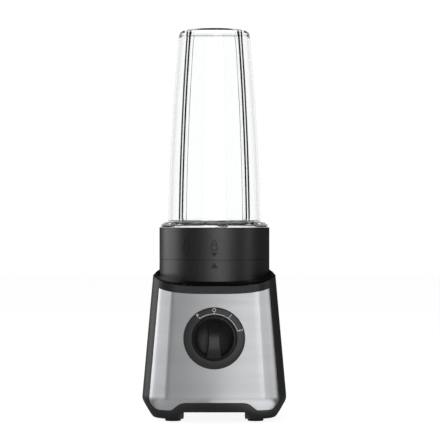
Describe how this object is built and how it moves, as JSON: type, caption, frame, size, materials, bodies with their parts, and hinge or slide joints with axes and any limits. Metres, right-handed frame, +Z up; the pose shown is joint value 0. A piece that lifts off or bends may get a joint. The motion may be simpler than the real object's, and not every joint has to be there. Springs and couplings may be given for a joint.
{
  "type": "countertop blender",
  "caption": "Personal blender: a tapered motor base with a steel front and a dial, and a clear fluted cup standing mouth down on a round black blade collar.",
  "frame": {"origin": "on the table, under the axis that the motor and the blades turn about", "axes": "+Z up along the motor axis, -Y towards the front with the dial, +X to the right seen from the front"},
  "size_m": [0.1242, 0.1405, 0.339],
  "materials": {
    "base_plastic": "fine matt texture",
    "blade_housing": "satin",
    "blade_steel": "polished stainless steel",
    "brass_tags": "bright",
    "bronze": "sintered",
    "carbon": "dull",
    "clear_plastic": "clear, smooth",
    "collar_plastic": "satin",
    "copper_bars": "bright copper",
    "copper_wire": "enamelled copper",
    "coupling_rubber": "matt",
    "dial_plastic": "satin",
    "gloss_black": "gloss",
    "ground_steel": "ground",
    "inner_black": "matt",
    "knob_plastic": "satin",
    "laminations": "dull",
    "pressed_steel": "zinc plated",
    "rubber_feet": "matt",
    "screw_steel": "zinc plated",
    "socket_plastic": "satin",
    "soft_black": "matt",
    "steel_front": "brushed across",
    "white_plastic": "matt",
    "white_silicone": "translucent white",
    "wire_cover": "soft plastic cover"
  },
  "bodies": {
    "base": {"housing": "base_plastic", "front_plate": "steel_front", "dial_ring": "dial_plastic", "top_cover": "gloss_black", "jar_socket": "socket_plastic", "bottom_cover": "base_plastic", "feet": "rubber_feet", "bottom_screws": "screw_steel", "socket_screws": "screw_steel", "inlet_bush": "soft_black", "rear_vent": "base_plastic", "rotary_switch": "inner_black", "switch_nut": "screw_steel", "switch_terminals": "brass_tags", "terminal_block": "white_plastic", "interlock_spring": "screw_steel", "micro_switch": "inner_black", "motor_bracket_top": "pressed_steel", "motor_bracket_bottom": "pressed_steel", "motor_dampers": "soft_black", "motor_screws": "screw_steel", "stator_core": "laminations", "field_coils": "copper_wire", "brush_holders": "brass_tags", "carbon_brushes": "carbon", "bearing_top": "bronze", "bearing_bottom": "bronze", "inner_wiring": "wire_cover"},
    "dial": {"knob": "knob_plastic", "switch_spindle": "white_plastic"},
    "rotor": {"motor_shaft": "ground_steel", "armature_core": "laminations", "armature_winding": "copper_wire", "commutator": "copper_bars", "cooling_fan": "white_plastic", "drive_coupling": "coupling_rubber", "shaft_slinger": "soft_black"},
    "pin": {"interlock_pin": "white_plastic"},
    "blade_unit": {"blade_cartridge": "blade_housing", "cartridge_nut": "blade_housing", "blade_bushes": "bronze", "blade_seal": "soft_black"},
    "blades": {"blade_shaft": "ground_steel", "driven_coupling": "coupling_rubber", "blade_lower": "blade_steel", "blade_upper": "blade_steel", "blade_washers": "blade_steel", "blade_nut": "blade_steel"},
    "jar_collar": {"collar": "collar_plastic", "cup_gasket": "white_silicone"},
    "jar_cup": {"cup": "clear_plastic"}
  },
  "joints": [
    {"name": "knob_turn", "type": "hinge", "parent": "base", "child": "dial", "pos_m": [0, -0.05752, 0.0718], "axis": [0, 0.9961, -0.088], "range_deg": [-36, 73]},
    {"name": "motor_spin", "type": "hinge", "parent": "base", "child": "rotor", "pos_m": [0, 0, 0.068], "axis": [0, 0, 1], "continuous": true},
    {"name": "interlock_rise", "type": "slide", "parent": "base", "child": "pin", "axis": [0, 0, 1], "range_m": [0, 0.003], "deforming": ["interlock_spring"]},
    {"name": "jar_lift", "type": "slide", "parent": "base", "child": "blade_unit", "axis": [0, 0, 1], "range_m": [0, 0.09]},
    {"name": "blade_spin", "type": "hinge", "parent": "blade_unit", "child": "blades", "pos_m": [0, 0, 0.15], "axis": [0, 0, 1], "continuous": true},
    {"name": "lock_twist", "type": "hinge", "parent": "blade_unit", "child": "jar_collar", "pos_m": [0, 0, 0.15], "axis": [0, 0, 1], "range_deg": [0, 30]},
    {"name": "cup_lift", "type": "slide", "parent": "jar_collar", "child": "jar_cup", "axis": [0, 0, 1], "range_m": [0, 0.09]}
  ],
  "couplings": [
    {"joint": "blade_spin", "follows": "motor_spin", "ratio": 1},
    {"joint": "interlock_rise", "follows": "lock_twist", "m_per_rad": 0.0057296}
  ]
}
